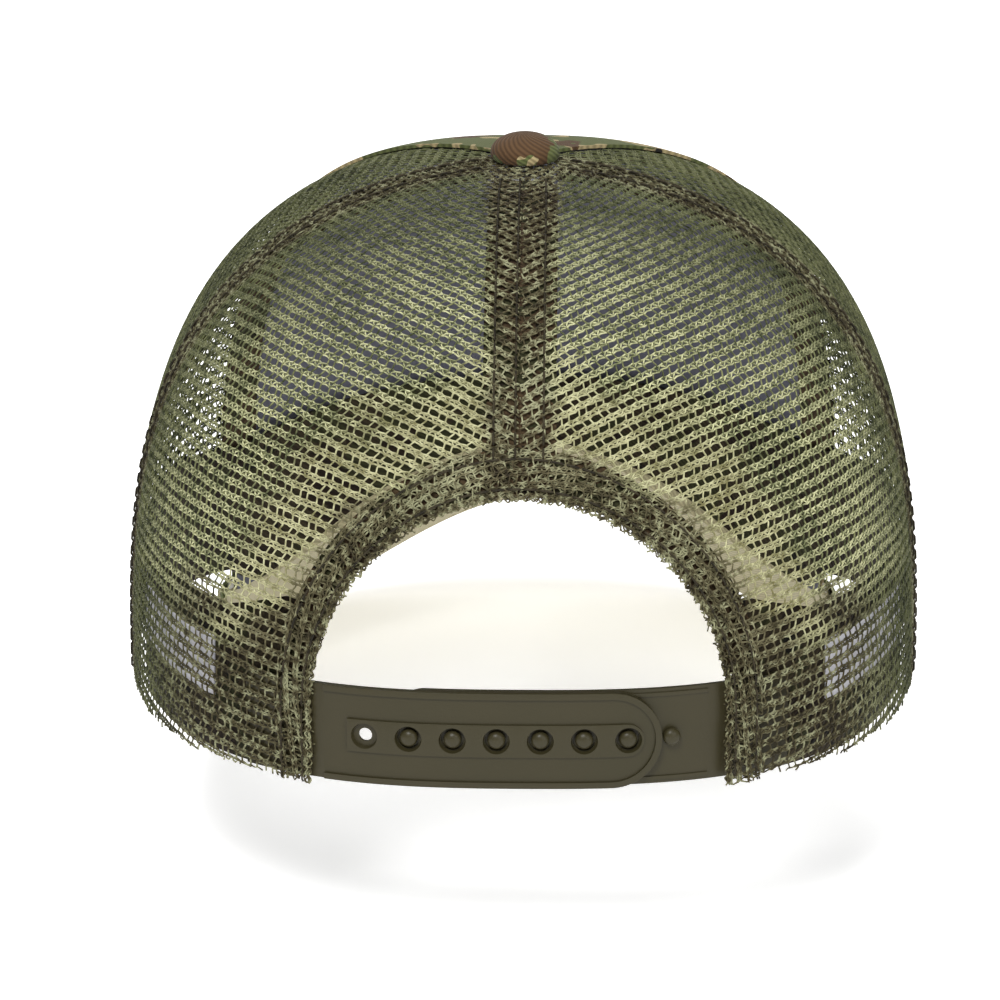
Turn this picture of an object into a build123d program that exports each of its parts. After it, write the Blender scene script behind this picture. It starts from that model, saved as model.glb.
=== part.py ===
"""Five-panel trucker cap: cloth front, mesh sides and back, curved visor, snap closure.

Frame, in millimetres: the wearer faces -Y and their left hand is at +X, +Z is up. The origin is
the middle of the head opening, level with the lower edge of the snap straps.
Every layer of the crown is the same closed form moved inwards, so the layers nest.
"""
import math
import os
from functools import lru_cache

from build123d import *

os.makedirs("parts", exist_ok=True)

# ---------------------------------------------------------------- crown form
HALF_WIDTH = 86.5
BACK_REACH = 99.0
FRONT_REACH = 98.0
CROWN_HEIGHT = 108.0
SQUARENESS = 2.64               # exponent of the plan outline; 2 would be an ellipse
SIDE_POWERS = (3.0, 2.19)       # how the half width dies away with height
BACK_POWERS = (3.2, 2.6)
FRONT_POWERS = (3.33, 2.13)
SKIRT = 16.0                    # straight wall below the origin, trimmed by the hem
SECTION_SHARES = (1.0, 0.997, 0.985, 0.955, 0.9, 0.8, 0.66, 0.48, 0.3, 0.14, 0.04)
OUTLINE_POINTS = 32
REACH = 260.0                   # size of the trimming tools

# ---------------------------------------------------------------- layers, as insets of the form
PANEL = (0.0, 0.8)
LINING = (1.0, 1.5)
FRONT_TAPE = (1.7, 2.2)
OUTER_STRAP = (1.0, 2.2)
STRAP_RELIEF = 0.5
INNER_STRAP = (2.4, 3.4)
INTERLINING = (3.1, 3.5)
SWEATBAND = (3.8, 4.8)
SEAM_GAP = 0.2                  # half the gap where two panels meet

# ---------------------------------------------------------------- seams, as plan angles from +X
SIDE_SEAM = 17.0
FRONT_SEAM = -45.0
CENTRE_SEAM = 90.0
TAPE_WIDTH = 12.0
CENTRE_TAPE_WIDTH = 15.0
APEX_HOLE = 2.4

# ---------------------------------------------------------------- lower edge and sweatband
HEM_HEIGHT = -1.2
HEM_LEVEL_TO = 10.0             # the hem is level behind this y and dips in front of it
TEMPLE_Y = -70.0
TEMPLE_HEM = -9.5
BAND_RISE = 2.5                 # the sweatband stops this much above the mesh hem
BAND_TOP = 33.0
BAND_TOP_LEVEL_TO = 30.0
BAND_TOP_TEMPLE = 22.0
BAND_TOP_FRONT = 32.5
BAND_END_MARGIN = 3.0
LINING_LOW = 8.0                # the bare interlining lies between the sweatband's two hems
LINING_HIGH = 7.0
LINING_END_X = 61.0

# ---------------------------------------------------------------- back arch
ARCH_HALF_WIDTH = 42.5
ARCH_SPRING = 15.0
ARCH_RISE = 44.0
BINDING_WIDTH = 9.5

# ---------------------------------------------------------------- visor
VISOR_JOINT_HEIGHT = 17.8       # top of the visor where it meets the middle of the front
VISOR_SLOPE = 0.54              # fall per millimetre forward
VISOR_ARCH_FALL = 30.0          # the cross arch is a hyperbola: this times (sqrt(1 + (x/w)^2) - 1)
VISOR_ARCH_WIDTH = 31.0
VISOR_HALF_WIDTH = 76.0
VISOR_HALF_LENGTH = 74.0
VISOR_CENTRE_Y = -92.0
VISOR_COVER = 0.8               # measured straight down, as is the board
VISOR_BOARD = 2.4
VISOR_RIM = 0.9
VISOR_EDGE_CLEARANCE = 0.2

# ---------------------------------------------------------------- snap closure
STRAP_WIDTH = 20.6
STRAP_MIDDLE = STRAP_WIDTH / 2
SNAP_PITCH = 8.95
FIRST_SNAP_X = 31.3
SNAP_COUNT = 7
HOLE_RADIUS = 2.4
EMPTY_HOLE_RADIUS = 1.45
RECESS_RADIUS = 2.75
PEG_RADIUS = 1.5
PEG_REACH = 0.5                 # the pegs stop this far inside the crown form
HINGE_X = 39.0
HINGE_GAP = 0.4
ROOT_END_X = 56.0
OUTER_TIP_X = -29.2
INNER_TIP_X = 22.0
BEAD_WIDTH = 1.3
TAB_WIDTH = 7.0
TAB_END_X = 34.8
TAB_TIP_X = -25.6
CUT_DEPTH = 5.0                 # passes right through a strap
PEG_FOOT = 0.3                  # the pegs start this far inside their strap
TIP_SQUARE = 4.0                # flat cut across the free end of the inner strap

# ---------------------------------------------------------------- button
BUTTON_RADIUS = 7.5
BUTTON_HEIGHT = 5.8
BUTTON_LIFT = 0.1
COVER_THICKNESS = 0.6
PRONG_RADIUS = 1.8
WASHER_RADIUS = 6.5
WASHER_THICKNESS = 0.9


def width_share(share_of_height, powers):
    """Half width left at a height, as a share of the half width at the base."""
    rise, fall = powers
    return (1 - share_of_height**rise) ** (1 / fall)


def outline(inset, height):
    """Points around the crown at one height, moved inwards by inset."""
    top = CROWN_HEIGHT - inset
    share = max(height, 0) / top
    half_width = (HALF_WIDTH - inset) * width_share(share, SIDE_POWERS)
    back = (BACK_REACH - inset) * width_share(share, BACK_POWERS)
    front = (FRONT_REACH - inset) * width_share(share, FRONT_POWERS)
    points = []
    for step in range(OUTLINE_POINTS):
        angle = 2 * math.pi * step / OUTLINE_POINTS
        across = math.cos(angle)
        along = math.sin(angle)
        reach = back if along > 0 else front
        x = half_width * math.copysign(abs(across) ** (2 / SQUARENESS), across)
        y = reach * math.copysign(abs(along) ** (2 / SQUARENESS), along)
        points.append((x, y))
    return points


@lru_cache(maxsize=None)
def crown_form(inset):
    """The solid inside the crown surface, moved inwards by inset."""
    rise, fall = SIDE_POWERS
    heights = [-SKIRT, -SKIRT / 2]
    for share in SECTION_SHARES:
        heights.append((CROWN_HEIGHT - inset) * (1 - share**fall) ** (1 / rise))
    with BuildPart() as form:
        for height in heights:
            with BuildSketch(Plane.XY.offset(height)):
                with BuildLine():
                    Spline(*outline(inset, height), periodic=True)
                make_face()
        loft()
    return form.part


def crown_shell(layer):
    """The shell between two insets of the crown form."""
    with BuildPart() as shell:
        add(crown_form(layer[0]))
        add(crown_form(layer[1]), mode=Mode.SUBTRACT)
    return shell.part


def sector(start, end, gap=SEAM_GAP):
    """Upright wedge between two plan angles, kept a gap away from both of its planes."""
    middle = math.radians((start + end) / 2)
    apex = gap / math.sin(math.radians(end - start) / 2)
    with BuildPart() as wedge:
        with BuildSketch(Plane.XY.offset(-REACH / 2)):
            corners = [(0, 0)]
            for angle in (start, (start + end) / 2, end):
                far = math.radians(angle)
                corners.append((REACH * math.cos(far), REACH * math.sin(far)))
            with Locations((apex * math.cos(middle), apex * math.sin(middle))):
                Polygon(*corners, align=None)
        extrude(amount=REACH)
    return wedge.part


def upright(radius, low, high):
    """Round post on the crown's axis."""
    with BuildPart() as post:
        with BuildSketch(Plane.XY.offset(low)):
            Circle(radius)
        extrude(amount=high - low)
    return post.part


def apex_cut():
    return upright(APEX_HOLE, CROWN_HEIGHT / 2, REACH)


def arch_cut(margin):
    """The back opening, widened by a margin."""
    with BuildPart() as cut:
        with BuildSketch(Plane.XZ.offset(-REACH / 2)):
            with Locations((0, ARCH_SPRING)):
                Ellipse(ARCH_HALF_WIDTH + margin, ARCH_RISE + margin)
                Rectangle(2 * (ARCH_HALF_WIDTH + margin), REACH, align=(Align.CENTER, Align.MAX))
        extrude(amount=REACH / 2)
    return cut.part


def side_view_cut(level, level_to, temple, far):
    """Everything beyond a side-view edge: level at the back, then an arc to the temple."""
    with BuildPart() as cut:
        with BuildSketch(Plane.YZ.offset(-REACH / 2)):
            with BuildLine():
                back = Line((REACH / 2, level), (level_to, level))
                dip = TangentArc(back @ 1, (TEMPLE_Y, temple), tangent=(-1, 0))
                front = Line(dip @ 1, (-REACH / 2, temple))
                Polyline(front @ 1, (-REACH / 2, far), (REACH / 2, far), back @ 0)
            make_face()
        extrude(amount=REACH)
        add(sector(-180 - FRONT_SEAM, FRONT_SEAM, gap=0), mode=Mode.SUBTRACT)
    return cut.part


def visor_heights(drop):
    """Points across the visor's arched surface in the plane y = 0, lowered by drop."""
    middle = VISOR_JOINT_HEIGHT + VISOR_SLOPE * FRONT_REACH - drop
    points = []
    for step in range(-4, 5):
        x = 22.0 * step
        fall = VISOR_ARCH_FALL * (math.hypot(1, x / VISOR_ARCH_WIDTH) - 1)
        points.append((x, middle - fall))
    return points


def visor_slab(top_drop, bottom_drop):
    """Slab between two copies of the visor's arched surface; no bottom drop means bottomless."""
    with BuildPart() as slab:
        with BuildSketch(Plane.XZ):
            with BuildLine():
                upper = Spline(*visor_heights(top_drop))
                if bottom_drop is None:
                    side = upper.position_at(1).X
                    Polyline(upper @ 1, (side, -REACH), (-side, -REACH), upper @ 0)
                else:
                    lower = Spline(*visor_heights(bottom_drop))
                    Line(upper @ 1, lower @ 1)
                    Line(upper @ 0, lower @ 0)
            make_face()
        extrude(amount=REACH, dir=(0, -1, -VISOR_SLOPE))
    return slab.part


def visor_layer(top_drop, bottom_drop, margin):
    """One layer of the visor, its edge moved in by margin, its back edge against the crown."""
    with BuildPart() as layer:
        add(visor_slab(top_drop, bottom_drop))
        with BuildSketch(Plane.XY.offset(-REACH / 2)):
            with Locations((0, VISOR_CENTRE_Y)):
                Ellipse(VISOR_HALF_WIDTH - margin, VISOR_HALF_LENGTH - margin)
        extrude(amount=REACH, mode=Mode.INTERSECT)
        add(crown_form(-VISOR_EDGE_CLEARANCE), mode=Mode.SUBTRACT)
    return layer.part


def under_visor_cut(drop):
    """Everything below the visor's surface lowered by drop, in front of the temples."""
    with BuildPart() as cut:
        add(visor_slab(drop, None))
        add(sector(-180 - FRONT_SEAM, FRONT_SEAM, gap=0), mode=Mode.INTERSECT)
    return cut.part


def keep_largest(builder):
    """Drop the thread-thin offcuts that trimming one curved shell with another can leave."""
    return builder.part.solids().sort_by(SortBy.VOLUME)[-1]


def save(name, shape):
    """Label one finished piece and write it as its own STEP file."""
    shape.label = name
    export_step(shape, f"parts/{name}.step")
    print(f"{name:24s} {shape.volume:10.1f} mm3")


VISOR_THICKNESS = 2 * VISOR_COVER + VISOR_BOARD
HEM_CUT = side_view_cut(HEM_HEIGHT, HEM_LEVEL_TO, TEMPLE_HEM, -REACH)
BAND_HEM_CUT = side_view_cut(HEM_HEIGHT + BAND_RISE, HEM_LEVEL_TO, TEMPLE_HEM + BAND_RISE, -REACH)

# ================================================================ cloth front
with BuildPart() as front_panel:
    add(crown_shell(PANEL))
    add(sector(-180 - FRONT_SEAM, FRONT_SEAM), mode=Mode.INTERSECT)
    add(under_visor_cut(VISOR_THICKNESS), mode=Mode.SUBTRACT)
    add(apex_cut(), mode=Mode.SUBTRACT)
save("front_panel", keep_largest(front_panel))

# The stiff lining follows the front panel, a little smaller at the seams and at the button.
with BuildPart() as front_buckram:
    add(crown_shell(LINING))
    add(sector(-180 - FRONT_SEAM, FRONT_SEAM, gap=2 * SEAM_GAP), mode=Mode.INTERSECT)
    add(under_visor_cut(VISOR_THICKNESS), mode=Mode.SUBTRACT)
    add(apex_cut(), mode=Mode.SUBTRACT)
save("front_buckram", keep_largest(front_buckram))

# ================================================================ mesh panels
for side, start, end in (("left", FRONT_SEAM, SIDE_SEAM), ("right", 180 - SIDE_SEAM, 180 - FRONT_SEAM)):
    with BuildPart() as side_mesh:
        add(crown_shell(PANEL))
        add(sector(start, end), mode=Mode.INTERSECT)
        add(HEM_CUT, mode=Mode.SUBTRACT)
        add(apex_cut(), mode=Mode.SUBTRACT)
    save(f"side_mesh_{side}", keep_largest(side_mesh))

for side, start, end in (("left", SIDE_SEAM, CENTRE_SEAM), ("right", CENTRE_SEAM, 180 - SIDE_SEAM)):
    with BuildPart() as back_mesh:
        add(crown_shell(PANEL))
        add(sector(start, end), mode=Mode.INTERSECT)
        add(HEM_CUT, mode=Mode.SUBTRACT)
        add(arch_cut(0), mode=Mode.SUBTRACT)
        add(apex_cut(), mode=Mode.SUBTRACT)
    save(f"back_mesh_{side}", keep_largest(back_mesh))


# ================================================================ seam tapes
def seam_tape(angle, start, end, width, layer, edge_cuts):
    """Tape under one seam: a straight strip in plan that keeps to its own sector at the apex."""
    with BuildPart() as tape:
        add(crown_shell(layer))
        add(sector(start, end), mode=Mode.INTERSECT)
        strip = Plane.XY.rotated((0, 0, angle)).offset(-REACH / 2)
        with BuildSketch(strip):
            with Locations((APEX_HOLE, 0)):
                Rectangle(REACH, width, align=(Align.MIN, Align.CENTER))
        extrude(amount=REACH, mode=Mode.INTERSECT)
        for cut in edge_cuts:
            add(cut, mode=Mode.SUBTRACT)
    return keep_largest(tape)


between_back_and_side = (CENTRE_SEAM + SIDE_SEAM) / 2
between_side_and_front = (SIDE_SEAM + FRONT_SEAM) / 2
save(
    "seam_tape_center_back",
    seam_tape(
        CENTRE_SEAM,
        between_back_and_side,
        180 - between_back_and_side,
        CENTRE_TAPE_WIDTH,
        LINING,
        [arch_cut(BINDING_WIDTH + SEAM_GAP)],
    ),
)
for side in ("left", "right"):
    mirrored = side == "right"
    back_span = (between_side_and_front, between_back_and_side)
    front_span = (-90.0, between_side_and_front)
    if mirrored:
        back_span = (180 - back_span[1], 180 - back_span[0])
        front_span = (180 - front_span[1], 180 - front_span[0])
    side_angle = 180 - SIDE_SEAM if mirrored else SIDE_SEAM
    front_angle = 180 - FRONT_SEAM if mirrored else FRONT_SEAM
    save(f"seam_tape_back_{side}", seam_tape(side_angle, *back_span, TAPE_WIDTH, LINING, [BAND_HEM_CUT]))
    corner_cuts = [BAND_HEM_CUT, under_visor_cut(VISOR_THICKNESS)]
    save(f"seam_tape_front_{side}", seam_tape(front_angle, *front_span, TAPE_WIDTH, FRONT_TAPE, corner_cuts))

# The arch binding backs the edge of the opening above the strap roots.
with BuildPart() as arch_binding:
    add(crown_shell(LINING))
    add(arch_cut(BINDING_WIDTH), mode=Mode.INTERSECT)
    add(arch_cut(0), mode=Mode.SUBTRACT)
    with BuildSketch(Plane.XY.offset(STRAP_WIDTH + 1.5)):
        Rectangle(REACH, REACH)
    extrude(amount=-REACH, mode=Mode.SUBTRACT)
save("arch_binding", keep_largest(arch_binding))

# ================================================================ sweatband
BAND_TOP_CUT = side_view_cut(BAND_TOP, BAND_TOP_LEVEL_TO, BAND_TOP_TEMPLE, REACH)


def front_top_cut(lowering):
    """Everything above the arched top edge of the sweatband's front stretch."""
    with BuildPart() as cut:
        with BuildSketch(Plane.XZ):
            with BuildLine():
                temple = (-TEMPLE_Y, BAND_TOP_TEMPLE - lowering)
                arch = ThreePointArc((TEMPLE_Y, temple[1]), (0, BAND_TOP_FRONT - lowering), temple)
                ends = [(REACH / 2, temple[1]), (REACH / 2, REACH), (-REACH / 2, REACH), (-REACH / 2, temple[1])]
                Polyline(arch @ 1, *ends, arch @ 0)
            make_face()
        extrude(amount=REACH)
        add(sector(-180 - FRONT_SEAM, FRONT_SEAM, gap=0), mode=Mode.INTERSECT)
    return cut.part


with BuildPart() as sweatband:
    add(crown_shell(SWEATBAND))
    add(BAND_HEM_CUT, mode=Mode.SUBTRACT)
    add(under_visor_cut(VISOR_THICKNESS), mode=Mode.SUBTRACT)
    add(BAND_TOP_CUT, mode=Mode.SUBTRACT)
    add(front_top_cut(0), mode=Mode.SUBTRACT)
    add(arch_cut(BAND_END_MARGIN), mode=Mode.SUBTRACT)
save("sweatband", keep_largest(sweatband))

# The bare interlining shows on the outer side, between the folded edges of the sweatband.
with BuildPart() as sweatband_interlining:
    add(crown_shell(INTERLINING))
    low_edge = HEM_HEIGHT + BAND_RISE + LINING_LOW
    add(side_view_cut(low_edge, HEM_LEVEL_TO, TEMPLE_HEM + BAND_RISE + LINING_LOW, -REACH), mode=Mode.SUBTRACT)
    add(under_visor_cut(VISOR_THICKNESS - LINING_LOW), mode=Mode.SUBTRACT)
    high_edge = BAND_TOP - LINING_HIGH
    add(side_view_cut(high_edge, BAND_TOP_LEVEL_TO, BAND_TOP_TEMPLE - LINING_HIGH, REACH), mode=Mode.SUBTRACT)
    add(front_top_cut(LINING_HIGH), mode=Mode.SUBTRACT)
    with BuildSketch(Plane.XZ.offset(-REACH / 2)):
        Rectangle(2 * LINING_END_X, REACH)
    extrude(amount=REACH / 2, mode=Mode.SUBTRACT)
save("sweatband_interlining", keep_largest(sweatband_interlining))

# ================================================================ visor
save("visor_board", visor_layer(VISOR_COVER, VISOR_COVER + VISOR_BOARD, VISOR_RIM + 0.1).solid())

# The top cover turns down around the rim of the board.
with BuildPart() as visor_top_cover:
    add(visor_layer(0, VISOR_COVER, 0))
    add(visor_layer(VISOR_COVER, VISOR_COVER + VISOR_BOARD, 0))
    add(visor_layer(VISOR_COVER, VISOR_COVER + VISOR_BOARD + 1.0, VISOR_RIM), mode=Mode.SUBTRACT)
save("visor_top_cover", keep_largest(visor_top_cover))
save("visor_under_cover", visor_layer(VISOR_COVER + VISOR_BOARD, VISOR_THICKNESS, 0).solid())

# ================================================================ button
button_seat = CROWN_HEIGHT + BUTTON_LIFT


def dome(radius, seat, height):
    """Low spherical cap with a short upright edge, flat underneath."""
    edge = height / 4
    with BuildPart() as cap:
        with BuildSketch(Plane.XZ):
            with BuildLine():
                crown = TangentArc((0, seat + height), (radius, seat + edge), tangent=(1, 0))
                Polyline(crown @ 1, (radius, seat), (0, seat), crown @ 0)
            make_face()
        revolve(axis=Axis.Z)
    return cap.part


core_radius = BUTTON_RADIUS - COVER_THICKNESS - 0.1
core_height = BUTTON_HEIGHT - COVER_THICKNESS - 0.1
with BuildPart() as button_cover:
    add(dome(BUTTON_RADIUS, button_seat, BUTTON_HEIGHT))
    add(dome(core_radius + 0.1, button_seat, core_height + 0.1), mode=Mode.SUBTRACT)
save("button_cover", button_cover.part.solid())

with BuildPart() as button_core:
    add(dome(core_radius, button_seat, core_height))
    add(upright(PRONG_RADIUS + 0.1, button_seat, button_seat + core_height / 2), mode=Mode.SUBTRACT)
save("button_core", button_core.part.solid())

washer_top = CROWN_HEIGHT - FRONT_TAPE[1] - 0.3
with BuildPart() as button_prong:
    add(upright(WASHER_RADIUS, washer_top - WASHER_THICKNESS, washer_top))
    add(upright(PRONG_RADIUS, washer_top - WASHER_THICKNESS, button_seat + core_height / 2 - 0.1))
    lower_rim = button_prong.edges().filter_by(GeomType.CIRCLE).group_by(Axis.Z)[0]
    chamfer(lower_rim, 0.3)
save("button_prong", button_prong.part.solid())


# ================================================================ snap closure
def snap_planes(first, count):
    """Planes square to the strap at the snap places, their origins on the crown form."""
    planes = []
    for index in range(first, first + count):
        x = FIRST_SNAP_X - SNAP_PITCH * index
        share = abs(x) / HALF_WIDTH
        y = BACK_REACH * (1 - share**SQUARENESS) ** (1 / SQUARENESS)
        lean_x = math.copysign(share ** (SQUARENESS - 1), x) / HALF_WIDTH
        lean_y = (y / BACK_REACH) ** (SQUARENESS - 1) / BACK_REACH
        planes.append(Plane((x, y, STRAP_MIDDLE), x_dir=(0, 0, 1), z_dir=(lean_x, lean_y, 0)))
    return planes


def strap_outline(square_x, round_x, width):
    """Plate square at one end and round at the other, cut through the back of the crown form."""
    toward = math.copysign(1, round_x - square_x)
    centre_x = round_x - toward * width / 2
    with BuildPart() as plate:
        with BuildSketch(Plane.XZ.offset(-REACH / 2)):
            with Locations(((square_x + centre_x) / 2, STRAP_MIDDLE)):
                Rectangle(abs(square_x - centre_x), width)
            with Locations((centre_x, STRAP_MIDDLE)):
                Circle(width / 2)
        extrude(amount=REACH / 2)
    return plate.part


def strap_root(layer, start_x, end_x):
    """Flat end of a strap, held between the mesh and the sweatband."""
    with BuildPart() as root:
        add(crown_shell(layer))
        with BuildSketch(Plane.XZ.offset(-REACH / 2)):
            with Locations(((start_x + end_x) / 2, STRAP_MIDDLE)):
                Rectangle(abs(end_x - start_x), STRAP_WIDTH)
        extrude(amount=REACH / 2, mode=Mode.INTERSECT)
    return keep_largest(root)


# A raised bead follows the edge of the outer strap, and a raised tab carries its holes.
relief_layer = (STRAP_RELIEF, OUTER_STRAP[0] + 0.2)
with BuildPart() as strap_bead:
    add(crown_shell(relief_layer))
    add(strap_outline(HINGE_X, OUTER_TIP_X, STRAP_WIDTH), mode=Mode.INTERSECT)
    inner_width = STRAP_WIDTH - 2 * BEAD_WIDTH
    add(strap_outline(REACH / 2, OUTER_TIP_X + BEAD_WIDTH, inner_width), mode=Mode.SUBTRACT)

with BuildPart() as strap_tab:
    add(crown_shell(relief_layer))
    add(strap_outline(TAB_END_X, TAB_TIP_X, TAB_WIDTH), mode=Mode.INTERSECT)

with BuildPart() as strap_female:
    add(crown_shell(OUTER_STRAP))
    add(strap_outline(HINGE_X, OUTER_TIP_X, STRAP_WIDTH), mode=Mode.INTERSECT)
    add(strap_bead.part)
    add(strap_tab.part)
    with BuildSketch(*snap_planes(1, SNAP_COUNT - 1)):
        Circle(HOLE_RADIUS)
    extrude(amount=CUT_DEPTH, both=True, mode=Mode.SUBTRACT)
    with BuildSketch(*snap_planes(0, 1)):
        Circle(EMPTY_HOLE_RADIUS)
    extrude(amount=CUT_DEPTH, both=True, mode=Mode.SUBTRACT)
    with BuildSketch(*[plane.offset(-OUTER_STRAP[0]) for plane in snap_planes(0, SNAP_COUNT)]):
        Circle(RECESS_RADIUS)
    extrude(amount=CUT_DEPTH, mode=Mode.SUBTRACT)
save("strap_female", keep_largest(strap_female))
save("strap_female_root", strap_root(OUTER_STRAP, HINGE_X + HINGE_GAP, ROOT_END_X))

with BuildPart() as strap_male:
    add(crown_shell(INNER_STRAP))
    add(strap_outline(-HINGE_X, INNER_TIP_X + STRAP_WIDTH / 2, STRAP_WIDTH), mode=Mode.INTERSECT)
    with BuildSketch(Plane.XZ.offset(-REACH / 2)):
        with Locations((INNER_TIP_X + TIP_SQUARE, STRAP_MIDDLE)):
            Rectangle(REACH / 2, REACH, align=(Align.MIN, Align.CENTER))
    extrude(amount=REACH / 2, mode=Mode.SUBTRACT)
    with BuildSketch(*[plane.offset(-INNER_STRAP[0] - PEG_FOOT) for plane in snap_planes(1, SNAP_COUNT)]):
        Circle(PEG_RADIUS)
    extrude(amount=INNER_STRAP[0] + PEG_FOOT - PEG_REACH)
save("strap_male", keep_largest(strap_male))
save("strap_male_root", strap_root(INNER_STRAP, -HINGE_X - HINGE_GAP, -ROOT_END_X))
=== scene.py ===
# %% [markdown]
# # A trucker cap: net, twill and a moulded snap strap
# The cap is one closed form, the crown, with every layer sewn to it: net panels, cloth front, tapes,
# sweatband, visor and straps. The measured frame is loaded first, so that each piece made here can
# take its size and place from it, and then ride on the body that moves it.

# %% Load the frame
import math
import random

import bpy
import numpy as np
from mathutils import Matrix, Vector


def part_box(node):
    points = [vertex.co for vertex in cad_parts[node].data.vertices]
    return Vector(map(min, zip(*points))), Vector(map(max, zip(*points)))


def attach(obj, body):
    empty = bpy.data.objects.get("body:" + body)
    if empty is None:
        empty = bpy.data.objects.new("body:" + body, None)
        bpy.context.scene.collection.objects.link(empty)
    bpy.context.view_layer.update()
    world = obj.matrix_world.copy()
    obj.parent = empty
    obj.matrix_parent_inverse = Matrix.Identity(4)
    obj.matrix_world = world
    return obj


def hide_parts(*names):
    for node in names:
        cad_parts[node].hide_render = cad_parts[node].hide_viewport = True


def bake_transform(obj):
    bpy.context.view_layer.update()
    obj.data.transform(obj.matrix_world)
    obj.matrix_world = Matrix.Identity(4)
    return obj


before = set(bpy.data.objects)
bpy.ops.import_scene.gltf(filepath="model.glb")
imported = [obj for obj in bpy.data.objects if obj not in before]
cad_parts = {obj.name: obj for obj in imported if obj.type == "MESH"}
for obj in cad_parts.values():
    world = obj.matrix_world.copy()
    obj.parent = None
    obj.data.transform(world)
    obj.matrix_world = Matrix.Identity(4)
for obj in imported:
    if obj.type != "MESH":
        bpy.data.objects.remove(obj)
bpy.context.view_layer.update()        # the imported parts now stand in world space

MM = 0.001
random.seed(7)

# %% [markdown]
# ## The crown as a formula
# A cap has no flat side to measure from, so every cloth piece is placed on one formula. In plan the
# crown is a rounded square, and its width dies away with height by a power curve. A piece that lies
# deeper is the same form made smaller by its inset. Lengths are in millimetres until a mesh is made.


# %% Sizes from the frame
def low(node):
    """Lowest corner of a node's box, in millimetres."""
    return np.array(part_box(node)[0]) / MM


def high(node):
    """Highest corner of a node's box, in millimetres."""
    return np.array(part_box(node)[1]) / MM


STRAP_RELIEF = 0.5
HALF_WIDTH = high("side_mesh_left")[0]
BACK_REACH = high("strap_female")[1] + STRAP_RELIEF
FRONT_REACH = -low("front_panel")[1]
CROWN_HEIGHT = high("front_panel")[2]
STRAP_LOW = low("strap_female")[2]
STRAP_HIGH = high("strap_female")[2]
HEM_HEIGHT = low("back_mesh_left")[2]
BAND_TOP = high("sweatband")[2]
SQUARENESS = 2.64
SIDE_POWERS = (3.0, 2.19)
BACK_POWERS = (3.2, 2.6)
FRONT_POWERS = (3.33, 2.13)
SIDE_SEAM = 17.0
FRONT_SEAM = -45.0
CENTRE_SEAM = 90.0
ARCH_HALF_WIDTH = 42.5
ARCH_SPRING = 15.0
ARCH_RISE = 45.0
BINDING_WIDTH = 9.5
print("crown", round(2 * HALF_WIDTH), "wide,", round(BACK_REACH + FRONT_REACH), "long,", round(CROWN_HEIGHT), "high")


# %% Points on the crown
def left_at(share, powers):
    """Share of the base width that is left at a share of the height."""
    return (1 - np.clip(share, 0, 0.999999) ** powers[0]) ** (1 / powers[1])


def crown(angle, height, inset=0.0):
    """Points of the crown at plan angles and heights, moved inwards by inset."""
    share = np.clip(height / CROWN_HEIGHT, 0, 1)
    across = (HALF_WIDTH - inset) * left_at(share, SIDE_POWERS)
    back = (BACK_REACH - inset) * left_at(share, BACK_POWERS)
    front = (FRONT_REACH - inset) * left_at(share, FRONT_POWERS)
    along = np.where(np.sin(angle) > 0, back, front)
    corner = np.abs(np.cos(angle) / across) ** SQUARENESS + np.abs(np.sin(angle) / along) ** SQUARENESS
    radius = corner ** (-1 / SQUARENESS)
    up = np.where(height > 0, height * (CROWN_HEIGHT - inset) / CROWN_HEIGHT, height) + 0 * radius
    return np.stack([radius * np.cos(angle), radius * np.sin(angle), up], -1)


def height_left(share):
    """Height at which a share of the base half width is left."""
    return CROWN_HEIGHT * (1 - share ** SIDE_POWERS[1]) ** (1 / SIDE_POWERS[0])


def running_length(points):
    """Distance along a line of points."""
    steps = np.linalg.norm(np.diff(points, axis=0), axis=1)
    return np.concatenate([[0.0], np.cumsum(steps)])


def angle_at(x, back=True):
    """Plan angle of the base outline at a sideways distance x."""
    reach = BACK_REACH if back else -FRONT_REACH
    y = reach * (1 - abs(x / HALF_WIDTH) ** SQUARENESS) ** (1 / SQUARENESS)
    return math.atan2(y, x)


# %% [markdown]
# ## Cutting cloth flat
# Net and cloth are made flat, so a pattern has to keep its size when it goes on a curved crown. A
# gore is one panel as it is cut: `across` from its middle line and `up` from the base, both measured
# along the cloth. Wrapping turns those two lengths back into a place on the crown.


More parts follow.
